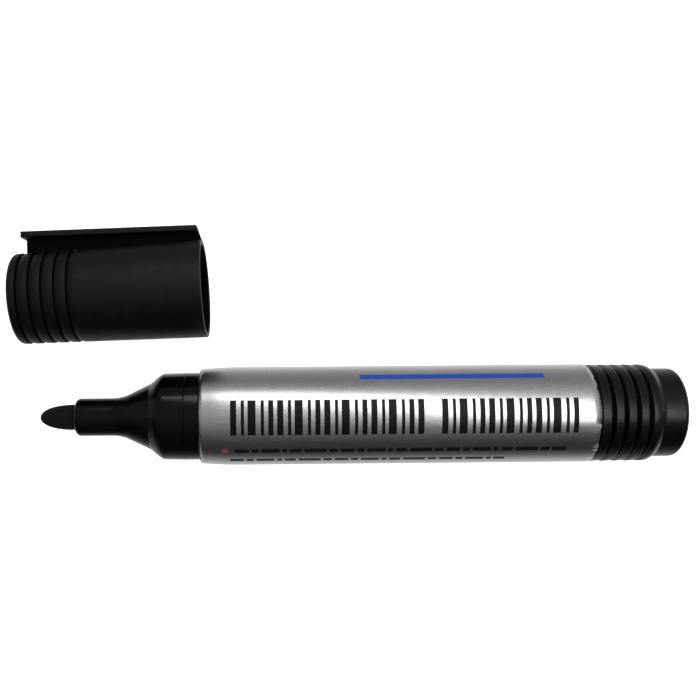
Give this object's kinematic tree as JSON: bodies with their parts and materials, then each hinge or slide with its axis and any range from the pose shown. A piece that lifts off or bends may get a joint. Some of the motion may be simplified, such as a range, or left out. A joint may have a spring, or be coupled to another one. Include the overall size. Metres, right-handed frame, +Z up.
{
  "type": "felt tip marker",
  "caption": "Round-barrelled felt tip marker lying beside its ribbed clip-on cap, with a bullet nib, stepped front section and ribbed rear plug.",
  "frame": {"origin": "middle of the footprint of the marker and its cap, on the surface that both lie on", "axes": "+X along the marker from nib to rear plug, +Y towards the cap, +Z up"},
  "size_m": [0.1286, 0.0468, 0.0192],
  "materials": {
    "felt": "matte pressed felt, soaked with black ink",
    "gloss_black": "glossy moulded polypropylene",
    "silver_film": "printed silver film with a fine grain along the barrel",
    "inked_fibre": "bundled polyester fibre, soaked with black ink",
    "clear_film": "thin clear film",
    "matte_black": "matte moulded polypropylene with a fine spark texture",
    "satin_black": "satin moulded polypropylene",
    "liner_black": "smooth moulded polyethylene"
  },
  "bodies": {
    "marker": {"nib": "felt", "front_section": "gloss_black", "barrel": "gloss_black", "label_film": "silver_film", "ink_reservoir": "inked_fibre", "reservoir_wrap": "clear_film", "rear_plug": "matte_black"},
    "cap": {"cap_shell": "satin_black", "inner_cap": "liner_black"},
    "clip": {"cap_clip": "satin_black"}
  },
  "joints": [
    {"name": "cap_pull", "type": "slide", "parent": "marker", "child": "cap", "axis": [-1, 0, 0], "range_m": [0, 0.034]},
    {"name": "clip_flex", "type": "hinge", "parent": "cap", "child": "clip", "pos_m": [-0.05554, 0.02205, 0.00902], "axis": [-0.0188, -0.0009, 0.9998], "range_deg": [0, 4], "stiffness_Nm_per_rad": 0.4}
  ]
}
